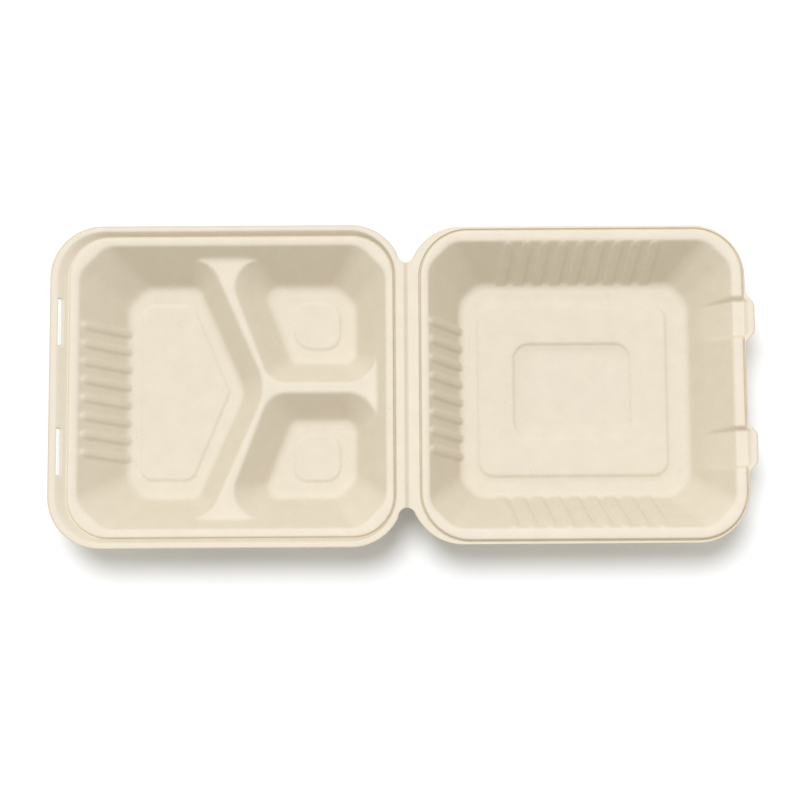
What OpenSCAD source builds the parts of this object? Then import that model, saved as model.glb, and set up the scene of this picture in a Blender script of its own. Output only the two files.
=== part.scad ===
// Moulded fibre clamshell food container, lying open: a tray with three compartments on the -X
// side and a lid on the +X side, joined by a flat hinge strip with a crease.
// The sheet has one thickness everywhere, so every rib, panel and divider is hollow underneath.
// Millimetres. +Z is up, +X runs from tray to lid, +Y is the back.
// The origin is on the table, in the middle of the opened container.

/* [Sheet and rim] */
// thickness of the moulded sheet
sheet_t = 0.8; // [0.6:0.1:1.2]
// height of the flat rim above the table, the same in both halves so that both lie flat
rim_h = 38; // [34:0.5:46]
// depth of the sloping channel that runs round the tray inside its flat lip
channel_d = 4.6; // [4:0.1:5.2]
// how far the rounded bead between channel and wall stays below the lip
bead_drop = 2.3; // [2.2:0.1:3]
// height of the raised band round the lid, which sits in the tray's channel when shut
band_h = 2.0; // [1.4:0.1:2.1]
// depth of the groove between the lid's lip and its band, below the lip
groove_d = 0.7; // [0.3:0.1:1]

/* [Tray] */
// length of the tray from the fold to its front edge
tray_l = 232.6; // [228:0.2:244]
// width of the tray parallel to the fold
tray_w = 211.6; // [208:0.2:220]
// radius of the tray's outer corners
tray_corner_r = 34; // [30:0.5:36]
// distance from the fold to the foot of the tray's front wall
tray_front_foot = 184.5; // [180:0.5:188]
// distance from the fold to the foot of the tray's wall beside the fold
tray_hinge_foot = 34.4; // [32:0.5:38]
// distance from the middle to the foot of the tray's side walls
tray_side_foot = 70.0; // [66:0.5:73]
// height of the flat top of the dividers above the table
divider_h = 24; // [18:0.5:28]
// width of the straight divider between the two small compartments, at its top
divider_w = 6.2; // [5:0.2:9]
// how far the foot of each small compartment stands back from the middle
small_foot = 20.1; // [19:0.5:24]
// distance from the fold to the point where the slanted dividers meet, on the large side
large_apex = 91.3; // [88:0.5:96]
// the same distance on the side of the small compartments
small_apex = 88.7; // [84:0.5:90]
// distance from the fold to the foot of the slanted walls, on the large side
large_apex_foot = 108.6; // [104:0.5:112]
// the same distance on the side of the small compartments
small_apex_foot = 67.6; // [64:0.5:72]
// angle of the slanted dividers on the large side, from straight across
large_slant = 23.6; // [20:0.5:26]
// angle of the slanted dividers on the side of the small compartments
small_slant = 20.8; // [18:0.5:24]
// rounding of the top edges of the dividers
divider_round = 3; // [2:0.2:4]

/* [Lid] */
// length of the lid from the fold to its front edge, without the tongues
lid_l = 222.0; // [218:0.2:224]
// width of the lid parallel to the fold
lid_w = 208.4; // [204:0.2:210]
// radius of the lid's outer corners
lid_corner_r = 34; // [30:0.5:36]
// distance from the fold to the foot of the lid's front wall
lid_front_foot = 187.4; // [184:0.5:190]
// distance from the fold to the foot of the lid's wall beside the fold
lid_hinge_foot = 37.2; // [34:0.5:40]
// distance from the middle to the foot of the lid's side walls
lid_side_foot = 69.5; // [66:0.5:73]

/* [Floors and panels] */
// radius where walls run into the floors
floor_fillet = 7; // [4:0.5:9]
// height of the raised panels in the floors
panel_h = 1.0; // [0.6:0.1:1.4]
// distance from the foot of the tray's front wall to the large panel
panel_front_margin = 8.3; // [7:0.1:12]
// distance from the foot of the tray's side walls to the large panel
panel_side_margin = 11.8; // [7:0.1:16]
// distance from the foot of the slanted walls to the point of the large panel
panel_nose_margin = 9.6; // [8:0.1:14]
// length of the lid's raised panel, across the fold direction
lid_panel_l = 126.6; // [110:1:134]
// width of the lid's raised panel
lid_panel_w = 115.4; // [100:1:120]
// corner radius of the lid's raised panel
lid_panel_r = 10.5; // [6:0.5:16]
// length of the sunk field in the middle of the lid's panel
lid_field_l = 79.2; // [60:1:96]
// width of the sunk field
lid_field_w = 64; // [50:1:90]
// corner radius of the sunk field
lid_field_r = 11; // [6:0.5:16]
// size of the small round-cornered panels in the small compartments
bump_w = 30.4; // [24:0.5:34]

/* [Ribs] */
// spacing of the wall ribs
rib_pitch = 12.0; // [11:0.1:13]
// width of one rib
rib_w = 5.6; // [4:0.2:6.4]
// how far a rib stands out of the wall
rib_h = 1.2; // [0.8:0.1:1.5]
// ribs on the tray's front wall
tray_ribs = 8; // [4:1:9]
// ribs on the lid's wall beside the fold
lid_hinge_ribs = 8; // [4:1:9]
// ribs on each side wall of the lid
lid_side_ribs = 9; // [4:1:9]

/* [Hinge and closure] */
// half the length of the hinge strip, between the two round notches
strip_half = 80.5; // [70:0.5:82]
// radius of the round notches at the ends of the strip
notch_r = 5.5; // [5:0.1:6.5]
// gap left between the two halves at the crease
crease_gap = 0.3; // [0.2:0.05:0.5]
// distance from the middle to the centre of each tongue and slot
lock_y = 42.6; // [40:0.2:50]
// length of each slot in the tray's rim
slot_l = 31.2; // [29:0.2:34]
// width of each slot
slot_w = 2.4; // [2:0.1:3]
// distance from the tray's front edge to the middle line of the slots
slot_inset = 6.8; // [5.6:0.1:7.4]
// how far the tongues reach beyond the lid's front edge
tongue_reach = 6.0; // [5:0.2:7]
// width of a tongue at its root
tongue_w = 31.4; // [27:0.2:34]
// width of the sunk chute behind each tongue
chute_w = 23.4; // [18:0.2:26]
// how far the flat at the chute's top lies below the tongue's lip
chute_drop = 1.4; // [0.8:0.1:2]

/* [Hidden] */
fibre = [0.93, 0.90, 0.83];
n_arc = 4;
hinge_virtual = 2.2;
slot_x = tray_l - slot_inset;
floor_z = sheet_t;
bead_z = rim_h - bead_drop;
band_z = rim_h + band_h;
shift_x = (tray_l - lid_l - tongue_reach) / 2;
tray_hw = tray_w / 2;
lid_hw = lid_w / 2;
around = [180, 225, 270, 315, 360, 405, 450, 495];
cut_round = 2 - sqrt(2);

// mix of two numbers
function mix(a, b, u) = a + (b - a) * u;

// point where two lines meet, each given by the angle of its outward normal and its distance
function meet(a, d, b, e) =
  [(d * sin(b) - e * sin(a)) / sin(b - a), (e * cos(a) - d * cos(b)) / sin(b - a)];

// one closed level of a surface: lines at angles A and distances D, corner i rounded with R[i]
function ring(A, D, R, z, n) = [
  for (i = [0:len(A) - 1])
    let (j = (i + 1) % len(A), b = A[j] < A[i] ? A[j] + 360 : A[j],
         c = meet(A[i], D[i] - R[i], b, D[j] - R[i]))
      for (k = [0:n]) let (f = mix(A[i], b, k / n)) [c[0] + R[i] * cos(f), c[1] + R[i] * sin(f), z]
];

// a closed skin through a list of rings with the same number of points
module skin(rings) {
  m = len(rings[0]);
  last = len(rings) - 1;
  points = [for (r = rings) each r];
  sides = [for (i = [0:last - 1]) for (k = [0:m - 1]) let (q = (k + 1) % m)
    each [[i * m + k, (i + 1) * m + k, (i + 1) * m + q], [i * m + k, (i + 1) * m + q, i * m + q]]];
  caps = [[for (k = [0:m - 1]) k], [for (k = [m - 1:-1:0]) last * m + k]];
  polyhedron(points = points, faces = concat(sides, caps), convexity = 12);
}

// outward position of a drafted wall at height h over its foot: run k per height, fillet r below
function draft(h, k, r) =
  let (th = atan(1 / k), h1 = r * (1 - cos(th)))
    h < h1 ? sqrt(max(0, r * r - (r - h) * (r - h))) - r * tan(th / 2) : h * k;

// the same near a rounded upper edge: g is the distance below the top, r the rounding
function brow(g, k, r) =
  let (th = atan(1 / k), h2 = r * (1 - cos(th)))
    g < h2 ? r * tan(th / 2) - sqrt(max(0, r * r - (r - g) * (r - g))) + g * k : 0;

// distances of the eight sides of a rim level: hinge side, two long sides, front side, corner cut
function eight(x_hinge, hw, x_front, c) =
  let (a = (hw - x_hinge - c) / sqrt(2), b = (hw + x_front - c) / sqrt(2))
    [-x_hinge, a, hw, b, x_front, b, hw, a];

// the normal offset of a profile by t towards the underside; points are [inset, height]
function below(P, t) = [
  for (i = [0:len(P) - 1])
    let (p = P[max(0, i - 1)], q = P[i], r = P[min(len(P) - 1, i + 1)],
         d1 = i == 0 ? r - q : q - p, d2 = i == len(P) - 1 ? q - p : r - q,
         n1 = [d1[1], -d1[0]] / norm(d1), n2 = [d2[1], -d2[0]] / norm(d2))
      q + t * (n1 + n2) / (1 + n1 * n2)
];

// The tray
// The tray is worked out with its front along +X and mirrored into place at the end.
// rows of the tray's rim, from the edge inward: inset at the front, at the sides and at the
// hinge, drop below the lip, radius of the corners
tray_rows = [
  [0, 0, 0, 0, tray_corner_r],
  [4.6, 3.2, 3.6, 0, tray_corner_r - 3.2],
  [5.8, 4.0, 4.3, 0.5, tray_corner_r - 4],
  [10.9, 6.2, 5.4, channel_d - 0.3, tray_corner_r - 6.4],
  [11.6, 6.8, 5.9, channel_d, tray_corner_r - 7],
  [12.4, 7.4, 6.5, bead_drop + 0.5, tray_corner_r - 7.8],
  [13.6, 8.4, 7.3, bead_drop, tray_corner_r - 8.8]
];
// the bead's inner edge: insets, corner cut and radius
bead_in = [17.6, 12.0, 10.3];
bead_cut = 17.5;
bead_r = 15;
foot_cut = 13;
foot_r = 12;

function tray_top_d() =
  eight(hinge_virtual + bead_in[2], tray_hw - bead_in[1], tray_l - bead_in[0], bead_cut);
function tray_foot_d() = eight(tray_hinge_foot, tray_side_foot, tray_front_foot, foot_cut);
tray_k = (tray_top_d() - tray_foot_d()) / (bead_z - floor_z);
tray_dk = (bead_r - foot_r) / (bead_z - floor_z);

// one level of the tray's wall, on its inner face (o = 0) or its outer face (o = 1)
function tray_wall(z, o) =
  let (D = [for (i = [0:7]) tray_foot_d()[i] + tray_k[i] * (z - floor_z)
             + o * sheet_t * sqrt(1 + tray_k[i] * tray_k[i])],
       r = foot_r + tray_dk * (z - floor_z) + o * sheet_t)
    ring(around, D, [for (i = [0:7]) r], z, n_arc);

function rim_ring(ins, z, r, c, hv, hw, l) =
  ring(around, eight(hv + ins[2], hw - ins[1], l - ins[0], c), [for (i = [0:7]) r], z, n_arc);

// inner edge of the bead, rounded over in two steps onto the wall
bead_rows = [
  [bead_in[0] - 1.2, bead_in[1] - 1.2, bead_in[2] - 1.2, bead_drop + 0.1, bead_r + 1.2],
  [bead_in[0] + 0.35, bead_in[1] + 0.3, bead_in[2] + 0.3, bead_drop + 0.75, bead_r - 0.3]
];

module tray_rim() {
  rows = concat(tray_rows, bead_rows);
  n_round = len(tray_rows);
  side = [for (r = rows) [r[1], -r[3]]];
  front = [for (r = rows) [r[0], -r[3]]];
  hinge = [for (r = rows) [r[2], -r[3]]];
  side_b = below(side, sheet_t);
  front_b = below(front, sheet_t);
  hinge_b = below(hinge, sheet_t);
  top = [for (i = [0:len(rows) - 1]) let (r = rows[i])
    rim_ring([r[0], r[1], r[2]], rim_h - r[3], r[4], i < n_round ? cut_round * r[4] : bead_cut,
             hinge_virtual, tray_hw, tray_l)];
  under = [for (i = [0:len(rows) - 1]) let (r = rows[i], o = r[1] - side_b[i][0])
    rim_ring([front_b[i][0], side_b[i][0], hinge_b[i][0]], rim_h + side_b[i][1], r[4] + o,
             (i < n_round ? cut_round * r[4] : bead_cut) + cut_round * o,
             hinge_virtual, tray_hw, tray_l)];
  last = len(rows) - 1;
  skin(concat(
    [tray_wall(divider_h - sheet_t, 1), tray_wall(bead_z - 2.6, 1)],
    [for (i = [last:-1:0]) under[i]],
    top,
    [tray_wall(bead_z - 2.2, 0), tray_wall(divider_h, 0)]
  ));
}

// heights at which the compartments are worked out: fillet at the floor, wall, brow at the top
steps = [0, 0.05, 0.18, 0.4, 0.7, 1];

// One compartment. A: angles of its sides, F: distances of their feet, K: their draft,
// P: 1 for a side that is the tray's own wall and 0 for a divider, Q: corner radii at the
// foot, S: corner radii at the top. o = 0 is the hollow, o = 1 the solid round it.
module pocket(A, F, K, P, Q, S, o) {
  z0 = o == 0 ? floor_z : 0;
  zt = divider_h - o * sheet_t;
  rf = floor_fillet + o * sheet_t;
  rb = divider_round - o * sheet_t;
  th = 56;
  h1 = rf * (1 - cos(th)) * 1.15;
  h2 = rb * (1 - cos(th)) * 1.25;
  hs = concat([for (s = steps) h1 * s], [for (s = [1, 0.6, 0.3, 0.1, 0]) zt - z0 - h2 * s]);
  function level(h) =
    let (g = zt - z0 - h,
         D = [for (i = [0:len(A) - 1])
               F[i] + o * sheet_t * tan(atan(1 / K[i]) / 2) + draft(h, K[i], rf)
               + (P[i] == 1 ? 0 : brow(g, K[i], rb))],
         R = [for (i = [0:len(A) - 1]) mix(Q[i], S[i], h / (divider_h - floor_z)) + o * sheet_t])
      ring(A, D, R, z0 + h, n_arc);
  rings = [for (h = hs) level(h)];
  lid_ring = [for (p = level(zt - z0)) [p[0], p[1], zt + (o == 0 ? 2 : sheet_t / 2)]];
  skin(concat(rings, [lid_ring]));
}

// large compartment, in front of the slanted dividers
big_k = (large_apex_foot - large_apex) * cos(large_slant) / (divider_h - floor_z);
module big_pocket(o) {
  f = tray_foot_d();
  slanted = -large_apex_foot * cos(large_slant);
  A = [0, 45, 90, 180 - large_slant, 180 + large_slant, 270, 315];
  pocket(
    A,
    [f[4], f[3], f[2], slanted, slanted, f[2], f[3]],
    [tray_k[4], tray_k[3], tray_k[2], big_k, big_k, tray_k[2], tray_k[3]],
    [1, 1, 1, 0, 0, 1, 1],
    [foot_r, foot_r, 9, 20, 9, foot_r, foot_r],
    [mid_r, mid_r, 20, 32, 20, mid_r, mid_r],
    o
  );
}
mid_r = foot_r + tray_dk * (divider_h - floor_z);

// small compartment at the back; the one at the front is its mirror image
small_k = (small_apex - small_apex_foot) * cos(small_slant) / (divider_h - floor_z);
arm_k = (small_foot - divider_w / 2) / (divider_h - floor_z);
module small_pocket(o) {
  f = tray_foot_d();
  A = [-small_slant, 90, 135, 180, 270];
  pocket(
    A,
    [small_apex_foot * cos(small_slant), f[2], f[1], f[0], -small_foot],
    [small_k, tray_k[2], tray_k[1], tray_k[0], arm_k],
    [0, 1, 1, 1, 0],
    [8, foot_r, foot_r, 8, 8],
    [18, mid_r, mid_r, 19, 16],
    o
  );
}

// a flat panel pressed up in a floor: lines at angles A and distances D, corner radii R
module panel(A, D, R, z0, z1, d0, d1) {
  function grown(g) = [for (d = D) d + g];
  function radii(g) = [for (r = R) r + g];
  skin([
    ring(A, grown(d0), radii(d0), z0, n_arc),
    ring(A, grown(d1), radii(d1), z1, n_arc)
  ]);
}

// raised on top and hollow below: o = 0 adds the top, o = 1 cuts the underside
module raised(A, D, R, o) {
  if (o == 0) panel(A, D, R, floor_z / 2, floor_z + panel_h, 0.8, -0.5);
  else panel(A, D, R, -0.5, panel_h, 0.9, -0.9);
}

// the large panel follows the walls round it; each small panel stands midway in its compartment
nose_slant = large_slant - 1;
nose_d = -(large_apex_foot + panel_nose_margin) * cos(nose_slant);
panel_hw = tray_side_foot - panel_side_margin;
bump_y = (small_foot + tray_side_foot) / 2 - 0.75;
bump_x = (tray_hinge_foot + small_apex_foot + bump_y * tan(small_slant)) / 2;
bump_r = bump_w * 0.31;
module tray_panels(o) {
  raised(
    [0, 90, 180 - nose_slant, 180 + nose_slant, 270],
    [tray_front_foot - panel_front_margin, panel_hw, nose_d, nose_d, panel_hw],
    [7.5, 7, 6, 7, 7.5], o
  );
  for (s = [-1, 1]) translate([bump_x, s * bump_y, 0]) mirror([0, s < 0 ? 1 : 0, 0])
    raised([0, 90, 180, 270], [for (i = [0:3]) bump_w / 2], [bump_r, bump_r, bump_r, bump_w * 0.43], o);
}

// One rib lying on a wall: from a to b along the wall, n the wall's inward normal. The top form
// is a long rounded hump; the hollow behind it is the same form moved back by the sheet.
module hump(a, b, tilt, o) {
  w = rib_w / 2 - o * 0.5;
  low = o == 0 ? -0.3 : -sheet_t - 0.8;
  foot = o == 0 ? -0.2 : -sheet_t - 0.2;
  hull() for (p = [a, b]) translate(p) rotate([0, tilt, 0]) {
    translate([0, 0, low]) cylinder(h = 0.5, r = w, $fn = o == 0 ? 8 : 6);
    translate([0, 0, foot]) cylinder(h = rib_h + 0.2, r1 = w, r2 = w * 0.45, $fn = o == 0 ? 8 : 6);
  }
}

// a row of ribs: foot and top of the wall as [distance, height], along +X, spread along Y
module rib_row(count, foot, top, shift_foot, shift_top, o, pitch = rib_pitch) {
  k = (top[0] - foot[0]) / (top[1] - foot[1]);
  tilt = -atan(1 / k);
  for (i = [0:count - 1]) {
    y = (i - (count - 1) / 2) * pitch;
    hump(
      [foot[0] + 2.2 * k, y + shift_foot, foot[1] + 2.2],
      [top[0] - 5.2 * k, y + shift_top, top[1] - 5.2], tilt, o
    );
  }
}

module tray_rib_row(o) {
  rib_row(tray_ribs, [tray_front_foot, floor_z], [tray_l - bead_in[0], bead_z], -2.35, -0.65, o);
}

// round-ended slot through the rim, for a tongue
module slot_cut() {
  for (s = [-1, 1]) hull() for (e = [-1, 1])
    translate([slot_x, s * lock_y + e * (slot_l - slot_w) / 2, rim_h - 6])
      cylinder(h = 8, d = slot_w, $fn = 16);
}

// flat strip from the rim to the crease, with half of each round notch, on the +X side
module strip(to_x) {
  translate([0, 0, rim_h - sheet_t]) linear_extrude(sheet_t) difference() {
    translate([crease_gap / 2, -strip_half - 3.5]) square([to_x - crease_gap / 2, 2 * strip_half + 7]);
    for (s = [-1, 1]) translate([0, s * (strip_half + notch_r)]) circle(r = notch_r, $fn = 48);
  }
}

// shallow score in the top of the strip, beside the crease
module score() {
  reach = strip_half + notch_r;
  translate([crease_gap / 2 + 0.5, -reach, rim_h - 0.2]) cube([0.5, 2 * reach, 1]);
}

module base() {
  color(fibre) translate([shift_x, 0, 0]) mirror([1, 0, 0]) difference() {
    union() {
      difference() {
        union() {
          tray_rim();
          big_pocket(1);
          small_pocket(1);
          mirror([0, 1, 0]) small_pocket(1);
        }
        big_pocket(0);
        small_pocket(0);
        mirror([0, 1, 0]) small_pocket(0);
      }
      tray_panels(0);
      tray_rib_row(0);
      strip(hinge_virtual + 3.3);
    }
    tray_panels(1);
    tray_rib_row(1);
    slot_cut();
    score();
  }
}

// The lid
// rows of the lid's rim, from the edge inward: inset, rise over the lip, radius of the corners
// inside a narrow lip a groove runs round the band
lid_rows = [
  [0, 0, 0, 0, lid_corner_r],
  [1.1, 1.1, 5.6, 0, lid_corner_r - 1.1],
  [1.6, 1.6, 6.3, -groove_d, lid_corner_r - 1.6],
  [2.2, 2.2, 6.8, -groove_d, lid_corner_r - 2.2],
  [3.2, 3.2, 7.6, band_h * 0.65, lid_corner_r - 3.2],
  [4.0, 4.0, 8.4, band_h, lid_corner_r - 4]
];
band_in = [8.2, 9.4, 12.0];
band_cut = 16;
band_r = 15;
lid_foot_cut = 13;
lid_foot_r = 12;
lid_end_rows = [
  [band_in[0] - 1.2, band_in[1] - 1.2, band_in[2] - 1.2, band_h - 0.1, band_r + 1.2],
  [band_in[0] + 0.3, band_in[1] + 0.3, band_in[2] + 0.3, band_h - 0.7, band_r - 0.3]
];

function lid_top_d() =
  eight(hinge_virtual + band_in[2], lid_hw - band_in[1], lid_l - band_in[0], band_cut);
function lid_foot_d() = eight(lid_hinge_foot, lid_side_foot, lid_front_foot, lid_foot_cut);
lid_k = (lid_top_d() - lid_foot_d()) / (band_z - floor_z);
lid_dk = (band_r - lid_foot_r) / (band_z - floor_z);

// one level of the lid's wall with its fillet at the floor; o = 0 inner face, o = 1 outer face
function lid_wall(z, o) =
  let (h = o == 0 ? z - floor_z : z,
       D = [for (i = [0:7]) lid_foot_d()[i] + o * sheet_t * tan(atan(1 / lid_k[i]) / 2)
             + draft(h, lid_k[i], floor_fillet + o * sheet_t)],
       r = lid_foot_r + lid_dk * (z - floor_z) + o * sheet_t)
    ring(around, D, [for (i = [0:7]) r], z, n_arc);

lid_steps = [for (s = steps) s * floor_fillet * (1 - cos(57)) * 1.15];
lid_all = concat(lid_rows, lid_end_rows);
lid_tops = [for (i = [0:len(lid_all) - 1]) let (r = lid_all[i])
  rim_ring([r[0], r[1], r[2]], rim_h + r[3], r[4], i < len(lid_rows) ? cut_round * r[4] : band_cut,
           hinge_virtual, lid_hw, lid_l)];

module lid_shell() {
  rows = lid_all;
  side_b = below([for (r = rows) [r[1], r[3]]], sheet_t);
  front_b = below([for (r = rows) [r[0], r[3]]], sheet_t);
  hinge_b = below([for (r = rows) [r[2], r[3]]], sheet_t);
  under = [for (i = [0:len(rows) - 1]) let (r = rows[i], o = r[1] - side_b[i][0])
    rim_ring([front_b[i][0], side_b[i][0], hinge_b[i][0]], rim_h + side_b[i][1], r[4] + o,
             (i < len(lid_rows) ? cut_round * r[4] : band_cut) + cut_round * o,
             hinge_virtual, lid_hw, lid_l)];
  last = len(rows) - 1;
  grow = 1 + sheet_t / floor_fillet;
  skin(concat(
    [for (h = lid_steps) lid_wall(h * grow, 1)],
    [lid_wall(band_z - 2.8, 1)],
    [for (i = [last:-1:0]) under[i]],
    lid_tops,
    [lid_wall(band_z - 2.2, 0)],
    [for (i = [len(lid_steps) - 1:-1:0]) lid_wall(floor_z + lid_steps[i], 0)]
  ));
}

// everything below the lid's upper face, used to trim the chutes
module lid_below() {
  skin(concat(
    [[for (p = lid_tops[0]) [p[0], p[1], -2]]],
    lid_tops,
    [lid_wall(band_z - 2.2, 0)],
    [for (i = [len(lid_steps) - 1:-1:0]) lid_wall(floor_z + lid_steps[i], 0)]
  ));
}

// Sunk chute that leads from the lid's wall to a tongue: up the wall, level, then up to the lip.
// o = 0 is the hollow, o = 1 the solid round it.
chute_line = [
  [190.5, 7], [214.8, rim_h - chute_drop], [lid_l - 0.2, rim_h - chute_drop],
  [lid_l + 2.4, rim_h], [lid_l + 2.4 + chute_drop, rim_h + 2]
];
module chute(o) {
  low = below(chute_line, sheet_t);
  w = chute_w / 2 + o * sheet_t;
  floor_line = o == 0 ? chute_line : [low[0], low[1], low[2], low[3] + [0, 0.02]];
  rotate([90, 0, 0]) translate([0, 0, -w]) linear_extrude(2 * w) polygon(concat(
    floor_line,
    [[floor_line[len(floor_line) - 1][0], rim_h + 8], [chute_line[0][0] - 4, rim_h + 8]],
    [[chute_line[0][0] - 4, chute_line[0][1] - 2]]
  ));
}

// outline of a tongue: straight tip, rounded corners, then slanting out to the lid's edge
module tongue_plan() {
  r = tongue_reach;
  tip = tongue_w / 2 - r * (sin(60) + tan(30) / 2);
  root = tongue_w / 2 + 1.5 * tan(30);
  polygon(concat(
    [[lid_l - 6, chute_w / 2 + 1], [lid_l - 6, -chute_w / 2 - 1], [lid_l - 1.5, -root]],
    [for (a = [-60:15:0]) [lid_l + r * cos(a), -tip + r * sin(a)]],
    [for (a = [0:15:60]) [lid_l + r * cos(a), tip + r * sin(a)]],
    [[lid_l - 1.5, root]]
  ));
}

module lid_ribs(o) {
  // beside the fold
  mirror([1, 0, 0])
    rib_row(lid_hinge_ribs, [-lid_hinge_foot, floor_z], [-hinge_virtual - band_in[2], band_z], -2, 0, o);
  // back and front walls; the ribs lean towards the fold on their way down
  for (s = [-1, 1]) translate([(lid_front_foot + lid_hinge_foot) / 2, 0, 0]) mirror([0, s < 0 ? 1 : 0, 0])
    rotate([0, 0, 90])
      rib_row(lid_side_ribs, [lid_side_foot, floor_z], [lid_hw - band_in[1], band_z],
              s < 0 ? 2.1 : 0.5, s < 0 ? -4.5 : -3.3, o);
}

module lid_panels(o) {
  cx = (lid_front_foot + lid_hinge_foot) / 2 - 1.1;
  D = [lid_panel_l / 2, lid_panel_w / 2, lid_panel_l / 2, lid_panel_w / 2];
  translate([cx, 0, 0]) raised([0, 90, 180, 270], D, [for (i = [0:3]) lid_panel_r], o);
}

// the sunk field inside the lid's panel; o = 0 cuts the top, o = 1 fills in the sheet below
module lid_field(o) {
  cx = (lid_front_foot + lid_hinge_foot) / 2 - 1.3;
  D = [lid_field_l / 2, lid_field_w / 2, lid_field_l / 2, lid_field_w / 2];
  R = [for (i = [0:3]) lid_field_r];
  translate([cx, 0, 0]) {
    if (o == 0) panel([0, 90, 180, 270], D, R, floor_z, floor_z + panel_h + 0.4, 0, 1.0);
    else panel([0, 90, 180, 270], D, R, 0, floor_z + panel_h - 0.2, 0.5, 1.9);
  }
}

module tongues() {
  for (s = [-1, 1]) translate([0, s * lock_y, 0]) children();
}

module lid() {
  color(fibre) translate([shift_x, 0, 0]) difference() {
    union() {
      difference() {
        union() {
          lid_shell();
          lid_panels(0);
          lid_ribs(0);
          strip(hinge_virtual + 4.8);
          tongues() translate([0, 0, rim_h - sheet_t]) linear_extrude(sheet_t) tongue_plan();
          intersection() {
            union() {
              lid_below();
              tongues() linear_extrude(rim_h) tongue_plan();
            }
            tongues() chute(1);
          }
        }
        lid_panels(1);
        lid_ribs(1);
        tongues() chute(0);
      }
      lid_field(1);
    }
    lid_field(0);
    score();
  }
}

base();
lid();
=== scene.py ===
# %% [markdown]
# # A moulded-fibre clamshell box, lying open
# The real box is one sheet of plant fibre. Wet pulp is sucked onto a wire mould and pressed
# dry between two heated dies, so every wall leans a little and there are no undercuts: seen
# from above, each spot of the sheet has exactly one height. This script uses that. The tray
# and the lid are worked out as rings of points that run round the sheet, then thickened
# downwards. Everything is laid into the frame that the measured part gives.

# %% Start: load the frame and note its size
import math

import bpy
import numpy as np
from mathutils import Matrix, Vector


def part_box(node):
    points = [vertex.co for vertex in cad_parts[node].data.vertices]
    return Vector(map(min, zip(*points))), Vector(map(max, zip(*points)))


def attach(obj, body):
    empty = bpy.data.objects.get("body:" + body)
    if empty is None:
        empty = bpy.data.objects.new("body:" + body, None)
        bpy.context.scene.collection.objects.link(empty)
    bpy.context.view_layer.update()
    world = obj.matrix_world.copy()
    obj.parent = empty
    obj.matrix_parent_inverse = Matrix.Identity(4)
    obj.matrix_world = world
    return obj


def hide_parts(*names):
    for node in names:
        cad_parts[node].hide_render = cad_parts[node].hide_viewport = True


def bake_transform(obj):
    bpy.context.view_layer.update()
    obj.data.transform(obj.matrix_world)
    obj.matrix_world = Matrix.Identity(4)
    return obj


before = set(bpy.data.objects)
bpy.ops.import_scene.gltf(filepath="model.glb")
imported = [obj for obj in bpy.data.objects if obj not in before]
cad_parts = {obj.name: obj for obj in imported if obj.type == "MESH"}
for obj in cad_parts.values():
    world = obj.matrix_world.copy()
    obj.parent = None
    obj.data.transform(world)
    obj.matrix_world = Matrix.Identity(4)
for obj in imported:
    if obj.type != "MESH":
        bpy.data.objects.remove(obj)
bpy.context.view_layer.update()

# %% [markdown]
# ## Sizes
# The outer sizes are read from the frame, so that the fine sheets take up the same place as
# the plain ones. The smaller features are named once, in millimetres. Each half is worked out
# in its own plan: x runs from the fold outwards, y along the fold, z up from the table.

# %% Sizes of both halves, in millimetres
MM = 0.001
base_box = np.array([list(c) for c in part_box("base")]) / MM
lid_box = np.array([list(c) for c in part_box("lid")]) / MM
crease_gap = 0.3
fold_x = base_box[1][0] + crease_gap / 2          # where the fold lies in the frame
sheet = 0.8                                       # thickness of the pressed sheet
tray_length = fold_x - base_box[0][0]
tray_half = base_box[1][1]
rim_z = base_box[1][2]
tongue_reach = 6.0
lid_length = lid_box[1][0] - fold_x - tongue_reach
lid_half = lid_box[1][1]
band_rise = lid_box[1][2] - rim_z
divider_z = 24.0
floor_bend = 7.0                                  # radius where walls run into the floors
panel_rise = 1.3
lid_panel_rise = 1.8
strip_half = 80.5                                 # half the length of the hinge strip
notch_r = 5.5
lock_y = 42.6                                     # middle of each tongue and slot
print(f"fold at x {fold_x:.2f}, tray {tray_length:.1f} x {2 * tray_half:.1f}, rim at {rim_z:.1f}")
print(f"lid {lid_length:.1f} x {2 * lid_half:.1f}, band {band_rise:.1f} above the rim")

# %% [markdown]
# ## Rings
# A pressed box is all rounded polygons: the lip, the wall at any height, the edge of a panel.
# A ring is described by the outward angle of each side, the side's distance from the origin
# and a radius for each corner. Its points are spread evenly along each main side and evenly
# along each corner, so that point number 100 of one ring always faces point 100 of the next.

# %% Points round a rounded polygon
EIGHT = np.array([180, 225, 270, 315, 360, 405, 450, 495], float)  # fold side first


def meet(a, d, b, e):
    """Crossing of two lines n(a).p = d and n(b).p = e, n being the unit vector at that angle:
    p = (d sin b - e sin a, e cos a - d cos b) / sin(b - a)."""
    a, b = np.radians(a), np.radians(b)
    crossing = np.stack([d * np.sin(b) - e * np.sin(a), e * np.cos(a) - d * np.cos(b)], -1)
    return crossing / np.sin(b - a)[..., None]


def eight(fold_side, half, front, cut):
    """Distances of eight sides: the four main ones and the four 45-degree cuts between them."""
    near = (half - fold_side - cut) / math.sqrt(2)
    far = (half + front - cut) / math.sqrt(2)
    return np.array([-fold_side, near, half, far, front, far, half, near])


def spread(line, count):
    """count + 1 points at equal steps of length along a polyline, ends included."""
    step = np.r_[0, np.cumsum(np.hypot(*np.diff(line, axis=0).T))]
    at = np.linspace(0, step[-1], count + 1)
    return np.stack([np.interp(at, step, line[:, k]) for k in (0, 1)], -1)


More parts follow.
